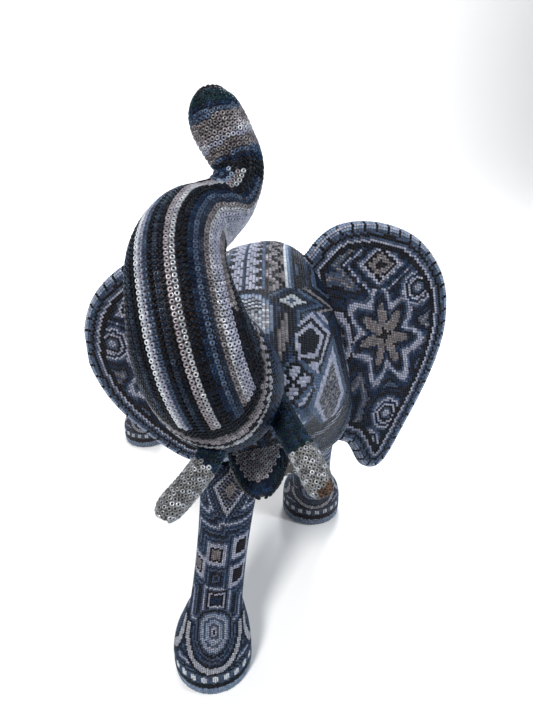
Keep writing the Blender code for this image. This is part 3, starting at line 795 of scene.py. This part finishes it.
def ear_tones(x, y, deep, edge):
    """From the flat place, how many beads in from the edge, and how far along the edge."""
    def seen_from(place):
        return (x - place[0]) / ROW_STEP, (y - place[1]) / ROW_STEP

    # a leafy star with a dark heart
    u, v = seen_from(STAR_PLACE)
    steps = zigzag(np.arctan2(v, u) * 9, 5) * 0.5
    star = starry(u * 0.86 + v * 0.18, v * 0.64 - u * 0.10, 7, 6.8, 2.6, 0.4) + steps
    heart = np.where(starry(u, v, 4, 2.2, 1.0) < 0, BLACK, TAUPE)
    # an eye-shaped diamond with a dark bow in it
    u, v = seen_from(LENS_PLACE)
    wave = zigzag(np.arctan2(v, u) * 12, 6) * 0.35
    lens = diamond(u * 0.92 - v * 0.25, v * 1.08 + u * 0.30) + wave - 7.4
    bow = np.where((lens < -4.6) | (lens > -1.6), BLACK, TAUPE)
    # a banded lobe by the root
    u, v = seen_from(LOBE_PLACE)
    lobe = np.hypot(u * 1.25, v * 0.62) - 2.5
    bands = np.where(np.mod(y, 8) < 3, TAUPE, GUN)
    motifs = [(star, STAR_RINGS, heart), (lens, LENS_RINGS, bow), (lobe, LOBE_RINGS, bands)]
    for across, up in EAR_SPOTS:
        spot = np.hypot(x - across, y - up) / ROW_STEP - SPOT_RADIUS
        motifs.append((spot, (SLATE, BLACK, LAV), LAV))
    tones = paint_motifs(motifs, EAR_CONTOURS)
    nested(tones, deep, RIM_RINGS)
    ticks = (np.mod(edge, RIM_DASH) < RIM_TICK) & (deep < RIM_DEPTH)
    return np.where(ticks, BLACK, tones)


LEG_CONTOURS = (BLACK, SLATE, NAVY, SLATE, LAV, SLATE, NAVY)
SHANK_PERIOD = 37  # columns round the shank
THIGH_ROW, THIGH_SIZE = 106, 5  # the diamond on the thigh
THIGH_RINGS = (BLACK, SLATE, BLACK, TAUPE, SLATE, BLACK, LAV, LAV, SILVER, SLATE, BLACK, NAVY, SLATE)
SHANK_SQUARES, SQUARE_HALF = ((-7, 150), (7, 155), (7, 124), (-18, 132), (18, 140)), 2.5
ARCH_ROW, ARCH_SIZE = 48, 2  # the square arch over the foot
FOOT_ROW, FOOT_CONTOURS = 24, (SLATE, NAVY, BLACK, SLATE, LAV, SLATE, BLACK)
MEDALLION_HEIGHT, MEDALLION_COLUMN, MEDALLION_TOP = 70.0, -4, 11  # the last is the rings above its middle
MEDALLION = (BLACK, LAV, SLATE, LAV, SKY, SLATE, LAV, SKY, SLATE, BLACK, SLATE, NAVY, SLATE, NAVY,
             BLACK, SILVER, LAV, SILVER, BLACK, NAVY)
TOE_HEIGHT, TOE_STEP, TOE_RADIUS = 25.0, 6, 1.8
TOE_ROWS, TOE_TOP = 2.6, 3.6  # how many rows from the toes' middles the dark starts, and ends
SOLE_BAND, SOLE_LINE = 14.5, 2.2  # how high the pale sole goes, and the dark line at its top


def leg_tones(k, r, along, beads):
    column = np.mod(k - MEDALLION_COLUMN + SHANK_PERIOD / 2, SHANK_PERIOD) - SHANK_PERIOD / 2
    height = along / ROW_STEP
    motifs = [(diamond(column * 1.5, height - THIGH_ROW) - THIGH_SIZE, THIGH_RINGS, TAUPE)]
    for place, rise in SHANK_SQUARES:
        square = np.maximum(np.abs(k - place), np.abs(along - rise) / ROW_STEP) - SQUARE_HALF
        motifs.append((square, (BLACK, LAV, LAV, SLATE, NAVY), BLACK if place > 0 else TAUPE))
    arch = np.maximum(np.abs(column) * 0.9, np.abs(height - ARCH_ROW) * 1.1) - ARCH_SIZE
    motifs.append((arch, (BLACK, LAV, BLACK, SLATE), NAVY))
    tones = paint_motifs(motifs, LEG_CONTOURS)
    # the foot: a medallion in front, a row of toes and a pale sole
    below = along < MEDALLION_HEIGHT
    foot = cycle(np.maximum(np.abs(height - FOOT_ROW) * 0.9, 0), FOOT_CONTOURS)
    tones = np.where(below, foot, tones)
    rings = np.hypot(column, (along - MEDALLION_HEIGHT) / ROW_STEP)
    nested(tones, np.where(~below & (rings > MEDALLION_TOP), AWAY, rings), MEDALLION)
    toe = np.hypot(np.mod(k, TOE_STEP) - TOE_STEP / 2, (along - TOE_HEIGHT) / ROW_STEP)
    beside = np.where(np.abs(along - TOE_HEIGHT) > TOE_ROWS * ROW_STEP, BLACK, SLATE)
    toes = np.where(toe < TOE_RADIUS, WHITE, beside)
    tones = np.where(along < TOE_HEIGHT + TOE_TOP * ROW_STEP, toes, tones)
    tones = np.where(along < SOLE_BAND, SKY, tones)
    return np.where((along < SOLE_BAND) & (along > SOLE_BAND - SOLE_LINE), BLACK, tones)


TORSO_RINGS = (TAUPE, TAUPE, TAUPE, BLACK, LAV, LAV, BLACK, NAVY, NAVY, BLACK, WHITE, BLACK, SLATE, SLATE,
               BLACK, SKY, BLACK, NAVY, BLACK, TAUPE, BLACK, LAV)
TORSO_CELL, CELL_SQUEEZE = (26, 30), 0.9
SADDLE_HALF, SADDLE_LINES = 7, {7: LAV, 8: BLACK, 9: LAV}


def torso_tones(k, r, along, beads):
    """Nested diamonds, and a striped saddle along the spine."""
    tones = cycle(diamond(*cells(k, r, *TORSO_CELL)) * CELL_SQUEEZE, TORSO_RINGS)
    side = np.abs(k)
    stripe = np.mod(zigzag(r, 12) + side, 6)
    spine = np.where(stripe < 2, WHITE, np.where(stripe < 4, NAVY, BLACK))
    return lined(np.where(side < SADDLE_HALF, spine, tones), side, SADDLE_LINES)


def tail_tones(k, r, along, beads):
    return cycle(r, (BLACK, BLACK, NAVY, LAV, NAVY, BLACK, TAUPE, TAUPE))


# ------------ beads

def bead_shape(profile, sides):
    """A bead turned from its profile, which ends in the hole's middle. Returns its points and faces, and
    which faces line the hole."""
    bm = bmesh.new()
    points = [bm.verts.new((reach, 0, rise)) for reach, rise in profile]
    edges = [bm.edges.new(pair) for pair in zip(points, points[1:])]
    bmesh.ops.spin(bm, geom=points + edges, cent=(0, 0, 0), axis=(0, 0, 1),
                   angle=math.tau, steps=sides, use_merge=True)
    bmesh.ops.remove_doubles(bm, verts=bm.verts, dist=1e-5)
    bmesh.ops.recalc_face_normals(bm, faces=bm.faces)
    if sum(face.normal.z for face in bm.faces) < 0:
        bmesh.ops.reverse_faces(bm, faces=bm.faces)
    bm.verts.index_update()
    corners = np.array([vertex.co[:] for vertex in bm.verts])
    faces = sorted([vertex.index for vertex in face.verts] for face in bm.faces)  # the same every run
    hole = np.array([len(face) == 3 for face in faces])
    bm.free()
    return corners, faces, hole


NEAR_BEAD = bead_shape(((1.0, -0.42), (0.93, 0.12), (0.68, 0.36), (0.42, 0.16), (0.0, -0.35)), 9)
MID_BEAD = bead_shape(((1.0, -0.42), (0.70, 0.34), (0.36, 0.20), (0.0, -0.30)), 6)
FAR_BEAD = bead_shape(((1.02, -0.45), (0.0, 0.42)), 6)
# How uneven the beads are: a share of their facing, a share of their size, and millimetres sideways
BEAD_JITTER = {"tilt": 0.06, "size": 0.035, "place": 0.05}


def show(name, data):
    """A new object in the scene."""
    item = bpy.data.objects.new(name, data)
    bpy.context.scene.collection.objects.link(item)
    return item


def stamp(name, shape, beads, tones, materials, rng, size, shaded_holes):
    """One mesh of beads: the shape at every place, stood on the surface, with its tone's material. Where
    asked, the faces lining each hole get the near black hole material, a painted shade.
    """
    corners, faces, hole = shape
    count = len(beads)
    facing = unit(beads[:, 3:6] + rng.normal(0, BEAD_JITTER["tilt"], (count, 3)))
    prop = np.where(np.abs(facing[:, 2:3]) < 0.9, (0, 0, 1.0), (1.0, 0, 0))
    first = unit(np.cross(prop, facing))
    second = np.cross(facing, first)
    spin = rng.uniform(0, math.tau, count)[:, None]
    first, second = (first * np.cos(spin) + second * np.sin(spin),
                     second * np.cos(spin) - first * np.sin(spin))
    radius = size / 2 * (1 + rng.normal(0, BEAD_JITTER["size"], count))[:, None, None]
    centre = beads[:, :3] + first * rng.normal(0, BEAD_JITTER["place"], count)[:, None]
    shape_at = (corners[None, :, :1] * first[:, None] + corners[None, :, 1:2] * second[:, None]
                + corners[None, :, 2:] * facing[:, None])
    points = (centre[:, None] + shape_at * radius).reshape(-1, 3) * MM
    sizes = np.array([len(face) for face in faces])
    loops = np.concatenate(faces)
    shift = np.arange(count)[:, None] * len(corners)
    mesh = bpy.data.meshes.new(name)
    mesh.vertices.add(len(points))
    mesh.vertices.foreach_set("co", points.astype(np.float32).ravel())
    mesh.loops.add(count * len(loops))
    mesh.loops.foreach_set("vertex_index", (loops[None] + shift).astype(np.int32).ravel())
    mesh.polygons.add(count * len(faces))
    starts = np.concatenate([[0], np.cumsum(np.tile(sizes, count))[:-1]])
    mesh.polygons.foreach_set("loop_start", starts.astype(np.int32))
    shade = rng.choice(SHADES, count, p=SHADE_ODDS)
    slot = np.repeat(tones.astype(int) * SHADES + shade, len(faces))
    # The faces lining each hole get the hole material, near black painted shade
    if shaded_holes:
        slot = np.where(np.tile(hole, count), len(materials) - 1, slot)
    used, slot = np.unique(slot, return_inverse=True)
    for number in used:
        mesh.materials.append(materials[number])
    mesh.polygons.foreach_set("material_index", slot.astype(np.int32))
    mesh.update(calc_edges=True)
    mesh.shade_smooth()
    return show(name, mesh)


BOX_MARGIN = 0.58  # share of a bead kept between its middle and the box
WAX_MARGIN = 1.8  # more than the beads keep, so that they still cover it
SOLE_RISE = 1.0  # the wax stops this far above the floor


def in_box(points, margin):
    """Points in millimetres, kept a margin inside the CAD's own box."""
    low, high = (np.array(tuple(corner)) / MM for corner in cad_box)
    return np.clip(points, low + margin, high - margin)


def wax_piece(name, bm, material):
    """The wax bed as an object, kept inside the CAD's own box and off the floor."""
    for vert in bm.verts:
        x, y, z = in_box(np.array(vert.co) / MM, WAX_MARGIN)
        vert.co = Vector((x, y, max(z, SOLE_RISE))) * MM
    mesh = bpy.data.meshes.new(name)
    bm.to_mesh(mesh)
    bm.free()
    mesh.materials.append(material)
    mesh.shade_smooth()
    return show(name, mesh)


# ------------ parts

def torso_rows():
    long, wide, high = TORSO_LENGTH / 2, TORSO_WIDTH / 2, TORSO_HEIGHT / 2
    return [(0, along * long, TORSO_CENTRE_HEIGHT + lift, across * wide, up * high)
            for along, across, up, lift in TORSO_PROFILE]


def head_rows():
    return [(sway, along * HEAD_LENGTH, (top + bottom) / 2 * HEAD_HEIGHT, wide * HEAD_WIDTH / 2,
             (top - bottom) / 2 * HEAD_HEIGHT) for along, top, bottom, wide, sway in HEAD_PROFILE]


def round_rows(path):
    """Stations of a part that is as wide as it is high."""
    return [(*row, row[-1]) for row in path]


def leg_rows(side, hip_share, splay, stride):
    hip = np.array((side * HIP_ASIDE, hip_share * TORSO_LENGTH / 2))
    foot = hip + (side * splay, stride)
    sizes = [(share * FOOT_HEIGHT, LEG_RADIUS + (FOOT_RADIUS - LEG_RADIUS) * spread)
             for share, spread in FOOT_PROFILE]
    sizes += [(FOOT_HEIGHT + (HIP_HEIGHT - FOOT_HEIGHT) * share,
               LEG_RADIUS + (THIGH_RADIUS - LEG_RADIUS) * spread) for share, spread in SHANK_PROFILE]
    rows = []
    for height, radius in sizes:
        share = max(height - LEAN_START, 0) / (HIP_HEIGHT - LEAN_START)
        place = foot + (hip - foot) * share
        rows.append((place[0], place[1], height, radius, radius))
    return rows


ASIDE, UP = (1, 0, 0), (0, 0, 1)
LEVEL, UPRIGHT = (ASIDE, UP), (ASIDE, (0, 1, 0))  # a ring's width and height directions
PIECE_BEADS = {"near": 2900, "mid": 6400, "far": 33000}  # the most beads in a piece
SHAPES = {"near": NEAR_BEAD, "mid": MID_BEAD, "far": FAR_BEAD}
# Row and column steps, wider where the beads are plainer
STEPS = (ROW_STEP, COLUMN_STEP)
LOOSER = 0.12
FAR_LEG_STEPS = (ROW_STEP + LOOSER, COLUMN_STEP + LOOSER)
TORSO_STEPS = (2.55, 2.4)
TUSK_STEPS = (ROW_STEP * 0.93, COLUMN_STEP)  # a tusk's rows are pressed closer


def surfaces():
    """Every part but the ears: its surface, tone maker, bead shape, row and column steps, and whether its
    columns count the other way."""
    lip_rows = [(0, *row) for row in LIP_PATH]
    tail_rows = round_rows([(0, TAIL_START + y, z, radius) for y, z, radius in TAIL_PATH])
    head = Surface(HEAD, head_rows(), 90, LEVEL, HEAD_POWER, HEAD_TAPER)
    parts = {
        "torso": (Surface(FIGURE, torso_rows(), 90, LEVEL), torso_tones, "far", TORSO_STEPS, True),
        "head": (head, head_tones, "mid", STEPS, True),
        "trunk": (Surface(HEAD, TRUNK_PATH, -90, hint=ASIDE), trunk_tones, "near", STEPS, False),
        "lower_lip": (Surface(HEAD, lip_rows, 90, hint=ASIDE), lip_tones, "near", STEPS, True),
        "tail": (Surface(FIGURE, tail_rows, 90, hint=ASIDE), tail_tones, "mid", STEPS, True),
    }
    for side, path in TUSK_PATHS.items():
        tusk = Surface(HEAD, round_rows(path), 0, hint=UP)
        parts[side + "_tusk"] = (tusk, tusk_tones, "near", TUSK_STEPS, False)
    for place, leg in LEGS.items():
        kind, steps = ("mid", STEPS) if place == "front_right" else ("far", FAR_LEG_STEPS)
        shank = Surface(FIGURE, leg_rows(*leg), -90, UPRIGHT)
        parts[place + "_leg"] = (shank, leg_tones, kind, steps, False)
    return parts


def closed_tree(item):
    """A wax bed's search tree, and its box in millimetres, a little larger."""
    bm = bmesh.new()
    bm.from_mesh(item.data)
    tree = BVHTree.FromBMesh(bm)
    bm.free()
    corners = np.array([vertex.co[:] for vertex in item.data.vertices])
    return tree, corners.min(axis=0) / MM - 1, corners.max(axis=0) / MM + 1


SUNK = 0.2  # how deep in another part's wax a bead has to be to be left out


def outside_others(beads, own, trees):
    """Which beads aren't inside another part's wax."""
    free = np.ones(len(beads), bool)
    for name, (tree, low, high) in trees.items():
        if name == own:
            continue
        close = np.flatnonzero(free & (beads[:, :3] > low).all(axis=1) & (beads[:, :3] < high).all(axis=1))
        for number in close:
            place = Vector(beads[number, :3]) * MM
            spot, normal, _, _ = tree.find_nearest(place)
            if (place - spot).dot(normal) < -SUNK * MM:
                free[number] = False
    return free


FLOOR_LINE = 1.6  # no bead's middle is lower
AHEAD = (-0.25, -0.90, 0.36)  # what faces this way, at least sideways, gets the better beads


def build_figure():
    rng = np.random.default_rng(SEED)
    glass = glass_tones()
    wax = grained("brown_beeswax", (0.006, 0.004, 0.004), (0.028, 0.015, 0.009), 150.0, 0.5, 0.25)
    parts = surfaces()
    beds = {name: wax_piece(name + "_wax", part[0].wax(), wax) for name, part in parts.items()}
    for side in EAR_SWEEP:
        name = side + "_ear"
        beds[name] = wax_piece(name + "_wax", Ear(side, WAX_RISE).wax(), wax)
    trees = {name: closed_tree(item) for name, item in beds.items()}
    for name, item in beds.items():
        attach(item, "root")
        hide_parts(name + "_bead_skin")
    for name, (surface, tone_of, kind, steps, flip) in parts.items():
        beads = lay_columns(surface, *steps, flip)
        beads = beads[outside_others(beads, name, trees)]
        beads = beads[beads[:, 2] > FLOOR_LINE]
        beads = thin_out(beads, steps[0] * CROWDED)
        tones = tone_of(beads[:, 6], beads[:, 7], beads[:, 8], beads)
        finish_beads(name, kind, beads, tones, glass, rng, max(steps[0], BEAD))
    for side in EAR_SWEEP:
        name = side + "_ear"
        beads = Ear(side, BEAD_RISE).beads()
        beads = beads[outside_others(beads, name, trees)]
        tones = ear_tones(beads[:, 6], beads[:, 7], beads[:, 8], beads[:, 9])
        finish_beads(name, "mid", beads, tones, glass, rng, BEAD)


def finish_beads(name, kind, beads, tones, glass, rng, size):
    """The part's bead pieces, cut into runs that stay small enough. Of the middle kind, what looks backwards
    gets the simplest shape."""
    beads = np.column_stack([in_box(beads[:, :3], size * BOX_MARGIN), beads[:, 3:]])
    ahead = (beads[:, 3:6] @ np.array(AHEAD) > 0) | (kind != "mid")
    pieces = 0
    for shape, group in ((kind, np.flatnonzero(ahead)), ("far", np.flatnonzero(~ahead))):
        runs = math.ceil(len(group) / PIECE_BEADS[shape])
        for chosen in np.array_split(group, runs) if runs else ():
            pieces += 1
            # Near beads get the near black painted shade in their holes
            item = stamp(f"{name}_beads_{pieces}", SHAPES[shape], beads[chosen], tones[chosen], glass, rng,
                         size, kind == "near")
            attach(item, "root")
            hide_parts(name + "_bead_skin")


def finish_wood():
    """Better wood on the cores and pegs, which stay inside."""
    carved = grained("carved_pine", (0.30, 0.17, 0.08), (0.52, 0.34, 0.19), 60.0, 0.65, 0.3, (1, 0.15, 1))
    dowel = grained("peg_beech", (0.46, 0.30, 0.18), (0.64, 0.46, 0.30), 90.0, 0.6, 0.2, (1, 1, 0.12))
    for name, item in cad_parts.items():
        if name.endswith("_core") or name.endswith("_peg"):
            for slot in item.material_slots:
                slot.material = carved if name.endswith("_core") else dowel


# ------------ floor, light and camera

FLOOR_HALF, FLOOR_FRONT, FLOOR_BACK, FLOOR_BEND, FLOOR_TOP = 6.0, -6.0, 3.2, 1.2, 4.0
BEND_STEPS = 12
PAPER = (0.86, 0.86, 0.86)
# A lamp: where it is, what it looks at, its width, its power in watts and its colour
LAMPS = {
    "window": ((-1.1, -1.3, 2.0), (0, -0.1, 0.3), 0.50, 54, (1.0, 0.99, 0.97)),
    "fill": ((1.5, -1.2, 1.2), (0, 0, 0.3), 0.4, 24, (0.88, 0.94, 1.0)),
    "rear": ((0.6, 1.3, 2.0), (0, 0, 0.3), 0.8, 34, (0.95, 0.97, 1)),
    "backdrop": ((0, 0.9, 2.6), (0, 3.0, 1.2), 1.6, 115, (1, 1, 1)),
}
SKY_COLOUR, SKY_STRENGTH = (0.93, 0.95, 1.0), 0.34
CAMERA_PLACE, CAMERA_TILT, CAMERA_TURN = (-0.13592, -0.53091, 0.561), 65, -17
CAMERA_LENS, SENSOR_WIDTH = 36.07, 36.0


def make_floor():
    """A pale sheet that curves up behind the figure."""
    bm = bmesh.new()
    profile = [(FLOOR_FRONT, 0.0), (FLOOR_BACK - FLOOR_BEND, 0.0)]
    for turn in np.arange(1, BEND_STEPS + 1) / BEND_STEPS * math.pi / 2:
        profile.append((FLOOR_BACK - FLOOR_BEND + FLOOR_BEND * math.sin(turn),
                        FLOOR_BEND * (1 - math.cos(turn))))
    profile.append((FLOOR_BACK, FLOOR_TOP))
    points = [bm.verts.new((-FLOOR_HALF, y, z)) for y, z in profile]
    edges = [bm.edges.new(pair) for pair in zip(points, points[1:])]
    made = bmesh.ops.extrude_edge_only(bm, edges=edges)
    moved = [item for item in made["geom"] if isinstance(item, bmesh.types.BMVert)]
    bmesh.ops.translate(bm, verts=moved, vec=(2 * FLOOR_HALF, 0, 0))
    bmesh.ops.recalc_face_normals(bm, faces=bm.faces)
    mesh = bpy.data.meshes.new("floor_sheet")
    bm.to_mesh(mesh)
    bm.free()
    mesh.shade_smooth()
    paper = bpy.data.materials.new("pale_paper")
    shader = shader_of(paper)
    shader.inputs["Base Color"].default_value = (*PAPER, 1.0)
    shader.inputs["Roughness"].default_value = 0.9
    mesh.materials.append(paper)
    show("floor_sheet", mesh)


def make_lamp(name, place, target, width, power, colour):
    lamp = bpy.data.lights.new(name, "AREA")
    lamp.shape = "DISK"
    lamp.size = width
    lamp.energy = power
    lamp.color = colour
    item = show(name, lamp)
    item.location = place
    item.rotation_euler = (Vector(target) - Vector(place)).to_track_quat("-Z", "Y").to_euler()


def make_camera():
    camera = bpy.data.cameras.new("camera")
    camera.sensor_fit = "HORIZONTAL"
    camera.sensor_width = SENSOR_WIDTH
    camera.lens = CAMERA_LENS
    camera.clip_start = 0.01
    item = show("camera", camera)
    item.location = CAMERA_PLACE
    item.rotation_euler = (math.radians(CAMERA_TILT), 0, math.radians(CAMERA_TURN))
    bpy.context.scene.camera = item


def make_world():
    bpy.context.scene.view_settings.view_transform = "Standard"
    world = bpy.data.worlds.new("studio")
    world.use_nodes = True
    background = world.node_tree.nodes["Background"]
    background.inputs["Color"].default_value = (*SKY_COLOUR, 1.0)
    background.inputs["Strength"].default_value = SKY_STRENGTH
    bpy.context.scene.world = world


build_figure()
finish_wood()
make_floor()
for lamp_name, lamp_settings in LAMPS.items():
    make_lamp(lamp_name, *lamp_settings)
make_camera()
make_world()
